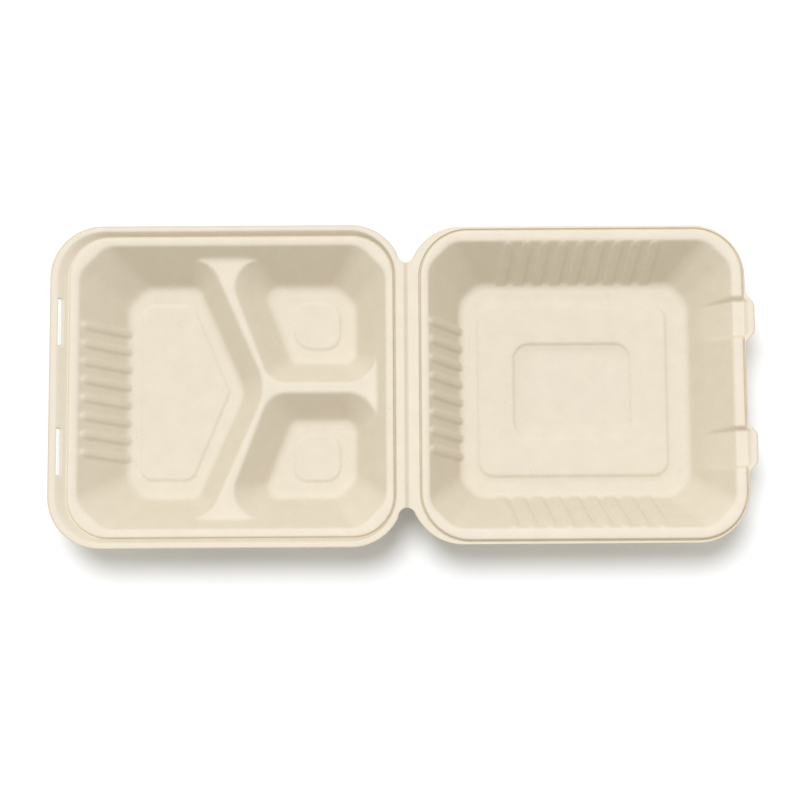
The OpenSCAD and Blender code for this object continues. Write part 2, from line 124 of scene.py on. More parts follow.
def ring(distances, radii, sides, corner):
    """Ring of eight sides: side, corner, side, corner and so on, starting at the middle of the
    corner before the fold side. sides gives the steps on each main side, corner those on a
    corner. Corner arcs: centre = crossing of the two lines moved in by r, p = centre + r n."""
    nxt = np.roll(EIGHT, -1)
    nxt[-1] += 360
    centre = meet(EIGHT, distances - radii, nxt, np.roll(distances, -1) - radii)
    turn = EIGHT + (nxt - EIGHT) * np.linspace(0, 1, 13)[:, None]
    turn = np.radians(turn)
    arc = centre + radii[:, None] * np.stack([np.cos(turn), np.sin(turn)], -1)
    parts = []
    for k in range(4):
        start, end = arc[-1, 2 * k - 1], arc[0, 2 * k]
        parts.append(spread(np.array([start, end]), sides[k])[:-1])
        parts.append(spread(np.concatenate([arc[:, 2 * k], arc[:, 2 * k + 1]]), corner)[:-1])
    return np.roll(np.concatenate(parts), corner // 2, axis=0)


trial = ring(eight(10, 80, 180, 12), np.full(8, 15.0), (8, 8, 8, 8), 4)
print("a trial ring has", len(trial), "points, x from", trial[:, 0].min(), "to", trial[:, 0].max())

# %% [markdown]
# ## From rows of rings to a sheet
# The rows form a grid: one direction runs round the box, the other from its outer edge to the
# middle. The upper face is that grid. The lower face is every second point of it, moved down
# square to the surface by the sheet's thickness. A row of small triangles closes the sheet all
# round its edge and round each slot, where the finer upper grid meets the coarser lower one.

# %% Grid helpers


def quads(index):
    """Faces of a grid of point numbers, one per cell: rows run inward, columns anticlockwise."""
    corners = [index[:-1, :-1], index[:-1, 1:], index[1:, 1:], index[1:, :-1]]
    return np.stack(corners, -1).reshape(-1, 4)


def normals(points, faces):
    """Unit normals: each point takes the sum of the cross products of its faces' diagonals."""
    a, b, c, d = (points[faces[:, k]] for k in range(4))
    across = np.cross(c - a, d - b)
    total = np.zeros_like(points)
    for k in range(4):
        np.add.at(total, faces[:, k], across)
    return total / np.maximum(np.linalg.norm(total, axis=1), 1e-12)[:, None]


def seam(fine, coarse):
    """Triangles between a closed loop of 2 m points and one of m points beside it."""
    a, b, c = fine[0::2], fine[1::2], np.roll(fine, -2)[0::2]
    p, q = coarse, np.roll(coarse, -1)
    return np.concatenate([np.stack(t, -1) for t in ((a, p, b), (b, p, q), (b, q, c))])


def round_trip(index, box):
    """Point numbers along the edge of a block of cells (row from, row to, column from, to)."""
    r0, r1, c0, c1 = box
    return np.concatenate([index[r0, c0:c1], index[r0:r1, c1],
                           index[r1, c1:c0:-1], index[r1:r0:-1, c0]])


def open_cells(index, boxes):
    """Faces of a grid without the cells of some blocks (row from, row to, column from, to)."""
    keep = np.ones((index.shape[0] - 1, index.shape[1] - 1), bool)
    for r0, r1, c0, c1 in boxes:
        keep[r0:r1, c0:c1] = False
    return quads(index)[keep.ravel()]


def note(mesh, name, values):
    """Writes one value for each point of a mesh, for the finish to read by that name."""
    mesh.attributes.new(name, "FLOAT", "POINT").data.foreach_set("value", values.astype(np.float32))


def smooth(x):
    """Eases from 0 to 1: t t (3 - 2 t) with t = x held between 0 and 1."""
    t = np.clip(x, 0, 1)
    return t * t * (3 - 2 * t)


print("a trial grid of 3 x 4 points has", len(quads(np.arange(12).reshape(3, 4))), "faces")

# %% [markdown]
# ## One closed sheet
# Both halves are made by one function. Solidify could thicken them too, but here the lower face
# can be left coarser, since it is hidden by the box itself, and the slots stay open right through.
# The function also notes two values on each point, which tell the finish where walls and edges are.

# %% Closing a sheet
lean_full = 0.45                                  # 1 - |n.z| of a wall that leans fully
edge_rows = 4                                     # rows that bend round the sheet's outer edge


def sheet_object(name, points, loops, block=None, holes=(), mirrored=False):
    """One closed sheet. points are its upper face; loops is the grid of point numbers that runs
    round, outer edge first; block is the grid that fills the middle, where None closes it flat;
    holes are blocks of cells left open right through. Lower face: p - thickness * normal, at
    every second row and column. A mirrored sheet lies on the other side of the fold. Two values
    are noted on each point for the finish: lean, which is (1 - |n.z|) / lean_full held between 0
    and 1 and faded out at the floor, and trim, which is 1 on the outer edge."""
    grid = np.concatenate([loops, loops[:, :1]], axis=1)
    below = len(points)
    whole = [quads(grid)] + ([] if block is None else [quads(block)])
    under = points - sheet * normals(points, np.concatenate(whole))
    half_holes = [tuple(n // 2 for n in box) for box in holes]
    faces = [open_cells(grid, holes), open_cells(grid[::2, ::2], half_holes)[:, ::-1] + below]
    ends = []
    if block is None:
        ends = [loops[-1], loops[-1, ::2][::-1] + below]
    else:
        faces += [quads(block), quads(block[::2, ::2])[:, ::-1] + below]
    edges = [seam(loops[0], loops[0, ::2] + below)]
    for box in holes:
        way_round = np.roll(round_trip(grid, box)[::-1], 1)
        edges.append(seam(way_round, way_round[::2] + below))
    faces, edges = np.concatenate(faces), np.concatenate(edges)
    lists = faces.tolist() + edges.tolist() + [e.tolist() for e in ends]
    used = np.unique(np.concatenate([faces.ravel(), edges.ravel()] + ends))
    place = np.concatenate([points, under])[used]
    place[:, 0] = fold_x - place[:, 0] if mirrored else fold_x + place[:, 0]
    number = np.zeros(2 * below, int)
    number[used] = np.arange(len(used))
    order = -1 if mirrored else 1
    mesh = bpy.data.meshes.new(name)
    mesh.from_pydata(place * MM, [], [number[f][::order].tolist() for f in lists])
    mesh.update()
    mesh.shade_smooth()
    facing = np.zeros(len(used) * 3)
    mesh.vertices.foreach_get("normal", facing)
    # lean is the mask of the painted shade: by it the finish paints the leaning walls darker and
    # warmer.
    lean = np.clip((1 - np.abs(facing.reshape(-1, 3)[:, 2])) / lean_full, 0, 1)
    lean *= smooth(place[:, 2] / 4 - 0.5)
    trim = np.zeros(2 * below)
    trim[loops[:edge_rows + 1]], trim[loops[:edge_rows] + below] = 1, 1
    note(mesh, "lean", np.where(trim[used] > 0, 0, lean))
    note(mesh, "trim", trim[used])
    obj = bpy.data.objects.new(name, mesh)
    bpy.context.scene.collection.objects.link(obj)
    print(name, len(mesh.vertices), "points,", sum(len(f) - 2 for f in lists), "triangles")
    return obj


print("the outer edge is rounded by", edge_rows, "rows")

# %% [markdown]
# ## Heights
# With the rings in place, the relief on them is a matter of height alone: how far a point of
# the plan lies from an outline or a line decides the height of panels, ribs and chutes.

# %% Distances in the plan, leaning walls and ribs


def outside(x, y, angles, d, r):
    """Signed distance to a rounded polygon. Beside a side it is n.p - d; past both ends of a
    corner's arc it is the distance from the arc's centre less its radius."""
    nxt = np.roll(angles, -1)
    nxt[-1] += 360
    centre = meet(angles, d - r, nxt, np.roll(d, -1, axis=-1) - r)
    qx, qy = x[..., None] - centre[..., 0], y[..., None] - centre[..., 1]
    a, b = np.radians(angles), np.radians(nxt)
    side = x[..., None] * np.cos(a) + y[..., None] * np.sin(a) - d
    corner = (qy * np.cos(a) > qx * np.sin(a)) & (qy * np.cos(b) < qx * np.sin(b))
    arc = np.where(corner, np.hypot(qx, qy) - r, -np.inf).max(-1)
    return np.where(corner.any(-1), arc, side.max(-1))


def draft(h, k, r):
    """Outward place of a leaning wall at height h over its foot: run k per height, and an arc of
    radius r into the floor: sqrt(r r - (r - h)(r - h)) - r tan(lean / 2)."""
    lean = np.arctan(1 / k)
    arc = np.sqrt(np.maximum(0, r * r - (r - h) ** 2)) - r * np.tan(lean / 2)
    return np.where(h < r * (1 - np.cos(lean)), arc, h * k)


def brow(g, k, r):
    """The same over the wall's upper edge, g below it: what the arc adds to the straight wall."""
    lean = np.arctan(1 / k)
    arc = r * np.tan(lean / 2) - np.sqrt(np.maximum(0, r * r - (r - g) ** 2)) + g * k
    return np.where(g < r * (1 - np.cos(lean)), arc, 0.0)


def sampled(rim, places):
    """Rim rows at chosen front insets: the rim's corners are cut twice, then every column is read
    off in step with the first."""
    line = soften(soften(rim, 0.22), 0.25)
    return np.stack([np.interp(places, line[:, 0], column) for column in line.T], -1)


def soften(rows, ratio=0.25):
    """Cuts every corner of a profile once: each step p to q gives p + ratio (q - p) and
    q - ratio (q - p). The two ends stay."""
    p, q = rows[:-1], rows[1:]
    cut = np.stack([p + ratio * (q - p), q - ratio * (q - p)], 1).reshape(-1, rows.shape[1])
    return np.concatenate([rows[:1], cut[1:-1], rows[-1:]])


def frustum(top, foot, z_top, z_foot):
    """Run per height of each side of a leaning wall, from its distances at two heights."""
    return (top - foot) / (z_top - z_foot)


def ribs(x, y, z, tops, feet, wall, rise=1.3, edge=3.0):
    """Heights with ribs on a wall. wall is the wall's plain height at each point and its stretch,
    the length up the slope per length of plan. A rib from its top to its foot raises the wall by
    rise * stretch * smooth((rib_wide / 2 - d) / edge), d being the distance from the rib's line,
    where the way past its top counts half. Only what stands above the floor's bend shows."""
    plain, stretch = wall
    best = z
    for (x1, y1), (x0, y0) in zip(tops, feet):
        run = np.hypot(x1 - x0, y1 - y0)
        ux, uy = (x1 - x0) / run, (y1 - y0) / run
        along = (x - x1) * ux + (y - y1) * uy
        across = (x - x1) * uy - (y - y1) * ux
        d = np.hypot(np.maximum(along, 0) * stretch / 2, across)
        near = (d < rib_wide / 2) & (along > -run - 6)
        raised = plain + rise * stretch * smooth((rib_wide / 2 - d) / edge)
        best = np.where(near, np.maximum(best, raised), best)
    return best


def pressed(x, y, z, angles, d, r, rise, edge):
    """Heights with a flat panel pressed up: z + rise * t (2 - t), where t is the way across the
    panel's edge, 0.5 - outside / edge held between 0 and 1. Crisp at its foot, round on top."""
    angles, d, r = (np.array(v, float) for v in (angles, d, r))
    t = np.clip(0.5 - outside(x, y, angles, d, r) / edge, 0, 1)
    return z + rise * t * (2 - t)


rib_wide, rib_below = 8.0, 7.4                    # how wide, and how far below the wall's top
panel_edge = 2.0                                  # width of the edge of the tray's panels
print("ribs are", rib_wide, "mm wide, panels stand", panel_rise, "and", lid_panel_rise, "mm")

# %% [markdown]
# ## The outline with its hinge strip
# Beside the fold each half's outline leaves its corner arc, runs round a small notch and
# follows the crease. Only the outermost rows know about the strip; the rows inside it are
# the plain rounded rectangle again.

# %% Outline of a half, from corner arc to crease
FOLD_VIRTUAL = 2.2                                # where the outline would be without the strip
corner_r = 34.0


def fold_corner(half, steps):
    """Half of the fold side's outline from the crease's middle part to the corner arc's end. steps
    are the numbers of steps on crease, notch and arc. Notch: circle of radius notch_r, its centre
    that far beyond the crease's end. It meets the corner arc where the two circles cross."""
    cx, cy = FOLD_VIRTUAL + corner_r, half - corner_r
    nx, ny = 0.0, strip_half + notch_r
    gap = math.hypot(cx - nx, cy - ny)
    toward = math.atan2(cy - ny, cx - nx)
    reach = min(1.0, (notch_r ** 2 + gap ** 2 - corner_r ** 2) / (2 * gap * notch_r))
    end = toward + math.acos(reach)
    start = math.asin(crease_gap / 2 / notch_r) - math.pi / 2
    turn = np.linspace(start, end, steps[1] + 1)
    notch = np.stack([nx + notch_r * np.cos(turn), ny + notch_r * np.sin(turn)], -1)
    first = math.atan2(notch[-1, 1] - cy, notch[-1, 0] - cx)
    turn = np.linspace(first, math.pi / 2, steps[2] + 1)
    arc = np.stack([cx + corner_r * np.cos(turn), cy + corner_r * np.sin(turn)], -1)
    crease = np.stack([np.full(steps[0], crease_gap / 2),
                       np.linspace(cy, notch[0, 1], steps[0] + 1)[:-1]], -1)
    return np.concatenate([crease, notch[:-1], arc])


def outline(half, front, sides, corner):
    """The whole outline as one ring, in step with ring()."""
    cut = (2 - math.sqrt(2)) * corner_r
    line = ring(eight(FOLD_VIRTUAL, half, front, cut), np.full(8, corner_r), sides, corner)
    steps = (3, corner * 3 // 8, corner - 3 - corner * 3 // 8)
    bend = fold_corner(half, steps)
    h = corner // 2
    across = np.linspace(half - corner_r, corner_r - half, sides[0] + 1)
    line[h:h + sides[0] + 1] = np.stack([np.full_like(across, crease_gap / 2), across], -1)
    low = bend * [1, -1]
    line[h + sides[0]:h + sides[0] + corner + 1] = low
    back = bend[::-1]
    line[:h + 1] = back[-h - 1:]
    line[len(line) - corner + h:] = back[:corner - h]
    return line


print("a hinge corner has", len(fold_corner(tray_half, (3, 8, 8))), "points")

# %% [markdown]
# ## The tray
# Its rim is a flat lip, a sloping channel and a low bead, and inside the bead the wall drops
# to the floor. Below the dividers' height the middle is a grid of its own: for each point the
# height is found at which the leaning, rounded wall of its compartment passes through it.

# %% Tray sizes
channel = 4.6
bead_drop = 2.3
tray_foot = dict(fold_side=34.4, half=70.0, front=184.5, cut=11.5)
tray_foot_r, bead_r = 14.5, 15.0
ROUND = 2 - math.sqrt(2)                          # corner cut that a full quarter circle needs


def rim_rows(rows):
    """Rim rows given as (insets at front, sides and fold, drop): adds the corner radius, which is
    the outline's less the inset at the sides, and the cut that such a radius needs."""
    rows = np.array(rows)
    r = corner_r - rows[:, 1]
    return np.column_stack([rows, r, ROUND * r])


tray_rim = np.concatenate([
    rim_rows([[4.6, 3.2, 4.1, 0.0], [5.7, 4.0, 4.7, 0.5], [11.2, 6.4, 5.35, channel - 0.3],
              [11.8, 6.8, 5.6, channel], [12.5, 7.2, 6.1, bead_drop + 0.5],
              [13.8, 8.1, 6.8, bead_drop]]),
    [[16.4, 10.8, 9.1, bead_drop + 0.1, bead_r + 1.2, 17.5],
     [17.95, 12.3, 10.6, bead_drop + 0.75, bead_r - 0.3, 17.5]]])
bead_inner = dict(fold_side=FOLD_VIRTUAL + 10.3, half=tray_half - 12.0,
                  front=tray_length - 17.6, cut=17.5)
bead_z = rim_z - bead_drop
tray_lean = frustum(eight(**bead_inner), eight(**tray_foot), bead_z, sheet)
tray_radius = (bead_r - tray_foot_r) / (bead_z - sheet)


def rim_ring(row, half, front, sides, corner):
    """Ring at a rim row's insets."""
    d = eight(FOLD_VIRTUAL + row[2], half - row[1], front - row[0], row[5])
    return ring(d, np.full(8, row[4]), sides, corner)


def lip_rows(edge, inner, z, fractions):
    """Rows from the sheet's rounded edge to the lip's inner side: p = edge + s (inner - edge)."""
    way = inner - edge
    unit = way / np.linalg.norm(way, axis=1)[:, None]
    rows = [np.column_stack([edge + unit * inset, np.full(len(edge), z - drop)])
            for inset, drop in ((0.2, 0.72), (0.03, 0.5), (0.03, 0.24), (0.17, 0.06))]
    start = edge + unit * 0.4
    level = np.full(len(edge), z)
    return rows + [np.column_stack([start + (inner - start) * f, level]) for f in fractions]


print("tray wall leans", tray_lean.round(2))

# %% [markdown]
# ## The tray's rim
# The die for the rim is one profile carried round the outline, a little wider at the front
# than at the sides. So the rim is made the same way: each row of points is one ring at its own
# inset and height, from the rounded edge over lip, channel and bead down to the dividers' height.

# %% Tray: the rows of the rim and the upper wall
tray_sides, tray_corner = (160, 172, 160, 172), 28
edge_line = outline(tray_half, tray_length, tray_sides, tray_corner)
lip_inner = rim_ring(tray_rim[0], tray_half, tray_length, tray_sides, tray_corner)
rows = lip_rows(edge_line, lip_inner, rim_z, (0, 0.25, 0.5, 0.75))
slot_rows = (10, 12)                              # the rows that run along the slots' long edges
places = [4.6, 4.9, 5.2, 6.4, 7.7, 9.4, 10.6, 11.1, 11.45, 11.8, 12.15, 12.55, 13.0, 13.7, 14.8,
          16.0, 16.8, 17.4]                       # insets at the front, close together at the bends
for row in sampled(tray_rim, places):
    plan = rim_ring(row, tray_half, tray_length, tray_sides, tray_corner)
    rows.append(np.column_stack([plan, np.full(len(plan), rim_z - row[3])]))
wall_top = rim_z - tray_rim[-1, 3]
for z in np.linspace(wall_top, divider_z, 9):
    d = eight(**tray_foot) + tray_lean * (z - sheet)
    plan = ring(d, np.full(8, tray_foot_r + tray_radius * (z - sheet)), tray_sides, tray_corner)
    rows.append(np.column_stack([plan, np.full(len(plan), z)]))
rows = np.array(rows)
print("tray rim:", rows.shape[0], "rows of", rows.shape[1], "points")

# %% [markdown]
# ## The two slots
# Two slots are cut through the slope beside the lip, where the lid's tongues go when the box is
# shut. Two of the rim's rows already run along their long sides. The columns beside them are
# moved a little, so that a column falls on each end, and the corners are drawn in slightly.

# %% Tray: slots
front_first = tray_corner // 2 + tray_sides[0] + tray_corner + tray_sides[1] + tray_corner
step = 2 * (tray_half - corner_r) / tray_sides[2]
slot_half, end_pull, end_in = 15.6, 0.28, 0.4      # half length, and how the corners are drawn in
slot_ends = (lock_y - slot_half, lock_y + slot_half)
marks = [round((tray_half - corner_r + e) / step / 2) * 2 for e in slot_ends]
front = slice(front_first, front_first + tray_sides[2] + 1)
reach = np.abs(rows[:, front, 1])
known = [0, *[m * step - (tray_half - corner_r) for m in marks], tray_half - corner_r]
rows[:, front, 1] = np.sign(rows[:, front, 1]) * np.where(
    reach < known[-1], np.interp(reach, known, [0, *slot_ends, tray_half - corner_r]), reach)
r0, r1 = slot_rows
slots = []
for c0, c1 in (marks, [tray_sides[2] - m for m in marks[::-1]]):
    c0, c1 = c0 + front_first, c1 + front_first
    slots.append((r0, r1, c0, c1))
    for c, inward in ((c0, end_in), (c1, -end_in)):
        pulled = rows[[r0, r1], c] * (1 - end_pull) + rows[r0 + 1, c] * end_pull
        rows[[r0, r1], c] = pulled + [0, inward, 0]
print("slots, as blocks of cells:", slots)

# %% [markdown]
# ## The compartments
# Each compartment is a stack of rounded polygons that grow with height: the tray's own walls
# on the outside, and on the inside the slanted faces of the dividers, rounded at the top. Which
# polygon of the stack passes through a point of the plan is found by halving the height range
# again and again for all points at once.

# %% Height of the floor and walls of a compartment


def compartment(x, y, angles, feet, run, own, r_foot, r_top, brow_r=3.0):
    """Height at each point, or the dividers' height outside. angles, feet and run give each side's
    direction, the distance of its foot and its run per height; own is 1 for the tray's own wall
    and 0 for a divider; r_foot and r_top are the corner radii. Solves outside(ring(h)) = 0."""
    angles, feet, run, own, r_foot, r_top = (np.array(v, float) for v in
                                             (angles, feet, run, own, r_foot, r_top))
    full = divider_z - sheet

    def gauge(h, px, py):
        h = np.broadcast_to(h, px.shape)[:, None]
        d = feet + draft(h, run, floor_bend) + (1 - own) * brow(full - h, run, brow_r)
        return outside(px, py, angles, d, r_foot + (r_top - r_foot) * h / full)

    z = np.full(x.shape, divider_z)
    inside = np.flatnonzero(gauge(full, x, y) < 0)
    px, py = x[inside], y[inside]
    low, high = np.zeros(len(inside)), np.full(len(inside), full)
    for _ in range(15):
        mid = (low + high) / 2
        beyond = gauge(mid, px, py) > 0
        low, high = np.where(beyond, mid, low), np.where(beyond, high, mid)
    flat = gauge(0.0, px, py) <= 0
    z[inside] = sheet + np.where(flat, 0.0, high)
    return z


large_slant, small_slant = 23.6, 20.8             # degrees from straight across the tray
large_apex, large_apex_foot = 91.3, 108.6         # where the slanted faces meet: top and foot
small_apex, small_apex_foot = 88.7, 67.6
divider_wide, small_foot = 6.2, 20.1              # divider along the middle: top, foot
panel_front, panel_half = 176.2, 58.2             # large panel: its front and its sides
nose_x, nose_slant = 118.2, 22.6                  # and the point of its slanted sides
bump_x, bump_y, bump_half = 59.4, 44.3, 15.2      # small panels: middle and half width
foot_d = eight(**tray_foot)
middle_r = tray_foot_r + tray_radius * (divider_z - sheet)


def slant_run(top, foot, slant):
    """Run per height of a slanted divider face, square to its own line."""
    return abs(foot - top) * math.cos(math.radians(slant)) / (divider_z - sheet)


def tray_height(x, y):
    """Lowest of the three compartments at each point of the plan, with the panels in the floors."""
    big = large_apex_foot * math.cos(math.radians(large_slant))
    big_run = slant_run(large_apex, large_apex_foot, large_slant)
    z = compartment(
        x, y, [0, 45, 90, 180 - large_slant, 180 + large_slant, 270, 315],
        [foot_d[4], foot_d[3], foot_d[2], -big, -big, foot_d[2], foot_d[3]],
        [tray_lean[4], tray_lean[3], tray_lean[2], big_run, big_run, tray_lean[2], tray_lean[3]],
        [1, 1, 1, 0, 0, 1, 1],
        [tray_foot_r, tray_foot_r, 9, 20, 9, tray_foot_r, tray_foot_r],
        [middle_r, middle_r, 20, 32, 20, middle_r, middle_r])
    small = small_apex_foot * math.cos(math.radians(small_slant))
    for side in (1, -1):
        z = np.minimum(z, compartment(
            x, side * y, [-small_slant, 90, 135, 180, 270],
            [small, foot_d[2], foot_d[1], foot_d[0], -small_foot],
            [slant_run(small_apex, small_apex_foot, small_slant), tray_lean[2], tray_lean[1],
             tray_lean[0], (small_foot - divider_wide / 2) / (divider_z - sheet)],
            [0, 1, 1, 1, 0], [8, tray_foot_r, tray_foot_r, 8, 8], [18, middle_r, middle_r, 19, 16]))
        z = pressed(x - bump_x, side * y - bump_y, z, [0, 90, 180, 270], [bump_half] * 4,
                    [9.5, 9.5, 9.5, 13], panel_rise, panel_edge)
    nose = nose_x * math.cos(math.radians(nose_slant))
    return pressed(x, y, z, [0, 90, 180 - nose_slant, 180 + nose_slant, 270],
                   [panel_front, panel_half, -nose, -nose, panel_half],
                   [7.5, 7, 6, 7, 7.5], panel_rise, panel_edge)


rib_pitch, tray_ribs = 12.0, 8
tray_rib_shift, tray_rib_slant = -1.5, 0.85       # place of the row of ribs, and their slant


def tray_ribbed(x, y, z):
    """Adds the ribs of the tray's front wall."""
    k = tray_lean[4]
    mid = (np.arange(tray_ribs) - (tray_ribs - 1) / 2) * rib_pitch + tray_rib_shift
    top_x = tray_foot["front"] + k * (bead_z - rib_below - sheet)
    tops = [(top_x, m + tray_rib_slant) for m in mid]
    feet = [(tray_foot["front"], m - tray_rib_slant) for m in mid]
    wall = (sheet + (x - tray_foot["front"]) / k, math.hypot(1, 1 / k))
    return ribs(x, y, z, tops, feet, wall)


divider_end = 119.0                               # where the slanted dividers meet the sides


def tray_ends(x, y, z, r=6.0):
    """Fills the inner corner where the dividers' top meets the tray's walls. With t the distance
    inside the wall's line at that height and T = r tan(lean / 2), the fill is
    r - sqrt(r r - (T - t)(T - t)) over the dividers' top, near the three ends only."""
    d = foot_d + tray_lean * (divider_z - sheet)
    lean = np.arctan(1 / tray_lean[2])
    way = r * np.tan(lean / 2) + outside(x, y, EIGHT, d, np.full(8, middle_r))
    near = (way > 0) & (way < r * np.sin(lean)) & (z > divider_z - 1.5)
    fill = divider_z + r - np.sqrt(r * r - np.clip(way, 0, r * np.sin(lean)) ** 2)
    at_sides = smooth((21 - np.abs(x - divider_end)) / 9)
    at_fold = smooth((21 - np.abs(y)) / 9) * (x < divider_end / 2)
    share = np.maximum(at_sides, at_fold) * smooth((z - divider_z + 1.5) / 1.5)
    return np.where(near & (fill > z), z + share * (fill - z), z)


print("tray: dividers at", divider_z, "mm,", tray_ribs, "ribs")

# %% [markdown]
# ## The tray's inside as one grid
# A four-sided patch is stretched inside the last ring, so its edge points are the ring's own
# points and no seam can open. Then every point of it gets its height from the functions above.

# %% Tray: the grid inside the walls


def patch(edge, across, along):
    """Grid that fills a ring: the four-sided blend of its edges. With u and v from 0 to 1 it is
    (1-u) bottom(v) + u top(v) + (1-v) left(u) + v right(u), less the same blend of the corners.
    Returns the plan and the number of each grid point, ring points keeping theirs."""
    n = len(edge)
    fold = (across - np.arange(across + 1)) % n
    front = across + along + np.arange(across + 1)
    bottom = across + np.arange(along + 1)
    top = (2 * across + 2 * along - np.arange(along + 1)) % n
    u = np.linspace(0, 1, across + 1)[:, None, None]
    v = np.linspace(0, 1, along + 1)[None, :, None]
    corners = ((1 - u) * ((1 - v) * edge[bottom[0]] + v * edge[bottom[-1]])
               + u * ((1 - v) * edge[top[0]] + v * edge[top[-1]]))
    plan = ((1 - u) * edge[bottom] + u * edge[top] + (1 - v) * edge[fold][:, None]
            + v * edge[front][:, None] - corners)
    number = np.zeros((across + 1, along + 1), int)
    number[1:-1, 1:-1] = np.arange((across - 1) * (along - 1)).reshape(across - 1, along - 1) + n
    number[:, 0], number[:, -1], number[0], number[-1] = fold, front, bottom, top
    return plan[1:-1, 1:-1].reshape(-1, 2), number


ring_points = rows.reshape(-1, 3)
count = rows.shape[1]
inner, number = patch(rows[-1, :, :2], tray_sides[0] + tray_corner, tray_sides[1] + tray_corner)
number += (len(rows) - 1) * count
inner = np.column_stack([inner, tray_height(inner[:, 0], inner[:, 1])])
tray_points = np.concatenate([ring_points, inner])
tray_points[:, 2] = tray_ends(*tray_points.T)
tray_points[:, 2] = tray_ribbed(*tray_points.T)
tray_loops = np.arange(len(ring_points)).reshape(len(rows), count)
print("tray grid", inner.shape, "from", inner[:, 2].min(), "to", inner[:, 2].max(), "high")
tray = sheet_object("tray", tray_points, tray_loops, block=number, holes=slots, mirrored=True)

# %% [markdown]
# ## The lid
# The lid has no dividers, so all of it is rings: lip, groove, raised band, wall, floor bend,
# floor and the two steps of its panel. Its front edge pushes out into two tongues, and a chute
# leads down from each into the wall.

# %% Lid sizes
lid_foot = dict(fold_side=37.0, half=71.0, front=187.4, cut=11.5)
lid_foot_r, band_r = 14.5, 15.0
groove = 1.5
lid_rim = np.concatenate([
    rim_rows([[0.75, 1.3, 6.2, 0.0], [1.1, 1.8, 6.6, groove], [1.5, 2.3, 6.95, groove],
              [2.1, 2.9, 7.6, -0.65 * band_rise], [3.1, 3.8, 8.5, -band_rise]]),
    [[7.0, 8.2, 10.8, 0.1 - band_rise, band_r + 1.2, 16.0],
     [8.5, 9.7, 12.3, 0.7 - band_rise, band_r - 0.3, 16.0]]])
band_inner = dict(fold_side=FOLD_VIRTUAL + 12.0, half=lid_half - 9.4,
                  front=lid_length - 8.2, cut=16.0)
band_z = rim_z + band_rise
lid_lean = frustum(eight(**band_inner), eight(**lid_foot), band_z, sheet)
lid_radius = (band_r - lid_foot_r) / (band_z - sheet)
tongue_wide, chute_half, chute_drop = 31.4, 11.1, 2.4
lid_sides, lid_corner = (168, 168, 168, 168), 32


def tongue(y):
    """How far the outline stands beyond the lid's front: full reach on the straight tip, then an
    arc of that radius to 45 degrees, then a straight 45-degree slant out to nothing."""
    r = tongue_reach
    bend = r * math.sin(math.radians(45))
    s = np.abs(np.abs(y) - lock_y) - (tongue_wide / 2 - 2 * bend)
    arc = np.sqrt(np.maximum(0, r * r - np.maximum(s, 0) ** 2))
    return np.maximum(0, np.where(s < bend, arc, 2 * bend - s))


def chuted(x, y, z):
    """Presses the chutes in. Along the middle a chute's height is a line that runs up the wall,
    level, and up again to the tongue's lip; beside chute_half it rises by 1.5 for each 1 outward.
    The result is the rounded lesser of that height c and the lid's: (z + c - sqrt((z - c)^2 +
    0.5^2)) / 2, near the chutes only."""
    line_x = [190.5, 214.2, 221.3, 223.8, 229]
    line_z = [7.0, rim_z - chute_drop, rim_z - chute_drop, rim_z + 0.1, rim_z + 5]
    aside = np.abs(np.abs(y) - lock_y)
    c = np.interp(x, line_x, line_z) + 1.5 * np.maximum(0, aside - chute_half)
    lesser = (z + c - np.sqrt((z - c) ** 2 + 0.25)) / 2
    share = smooth((chute_half + 8 - aside) / 3) * smooth((x - 187) / 3)
    return z + share * (lesser - z)


lid_ribs, lid_side_ribs = 8, 9                    # beside the fold, and on back and front walls
lid_rib_shift, lid_rib_slant = -1.0, 1.0
side_rib_x = ((1, 111.8, 115.6), (-1, 110.2, 116.8))  # side, middle of the feet, of the tops
side_rib_rise, side_rib_edge = 0.8, 1.5           # flatter than the others, with crisp edges


def lid_ribbed(x, y, z):
    """Adds the ribs of the wall beside the fold and of the back and front walls."""
    k = lid_lean[0]
    mid = (np.arange(lid_ribs) - (lid_ribs - 1) / 2) * rib_pitch + lid_rib_shift
    top_x = lid_foot["fold_side"] - k * (band_z - rib_below - sheet)
    z = ribs(x, y, z, [(top_x, m + lid_rib_slant) for m in mid],
             [(lid_foot["fold_side"], m - lid_rib_slant) for m in mid],
             (sheet + (lid_foot["fold_side"] - x) / k, math.hypot(1, 1 / k)))
    k = lid_lean[2]
    mid = (np.arange(lid_side_ribs) - (lid_side_ribs - 1) / 2) * rib_pitch
    for side, foot_x, top_x in side_rib_x:
        y_top = side * (lid_foot["half"] + k * (band_z - rib_below - sheet))
        z = ribs(x, y, z, [(top_x + m, y_top) for m in mid],
                 [(foot_x + m, side * lid_foot["half"]) for m in mid],
                 (sheet + (side * y - lid_foot["half"]) / k, math.hypot(1, 1 / k)),
                 side_rib_rise, side_rib_edge)
    return z


print("lid wall leans", lid_lean.round(2), "and the tongues stand out", tongue_reach)

# %% [markdown]
# ## The lid's rows
# Rows lie close together where the sheet bends and further apart where it is plain. The last
# ring inside the panel is closed by one flat face, which saves a patch. Ribs and chutes are
# then pressed into the finished rows by height.

# %% Lid: all its rows
lid_panel = (111.2, 126.6, 115.4, 10.5)           # middle, length, width, corner radius
lid_field = (111.0, 79.2, 64.0, 11.0)             # the sunk field inside it
step_up = np.array([(1.12, 0), (0.95, 0.09), (0.6, 0.36), (0.1, 0.7), (-0.4, 0.91), (-1.0, 1)])
outer_step, inner_step = 1.5, 1.45                # half widths of the two steps
step_shift = 1.0                                  # how far the outer step lies inside its line


def level_ring(d, r, z):
    """Ring at one height, as points."""
    plan = ring(d, np.full(8, r), lid_sides, lid_corner)
    return np.column_stack([plan, np.full(len(plan), z)])


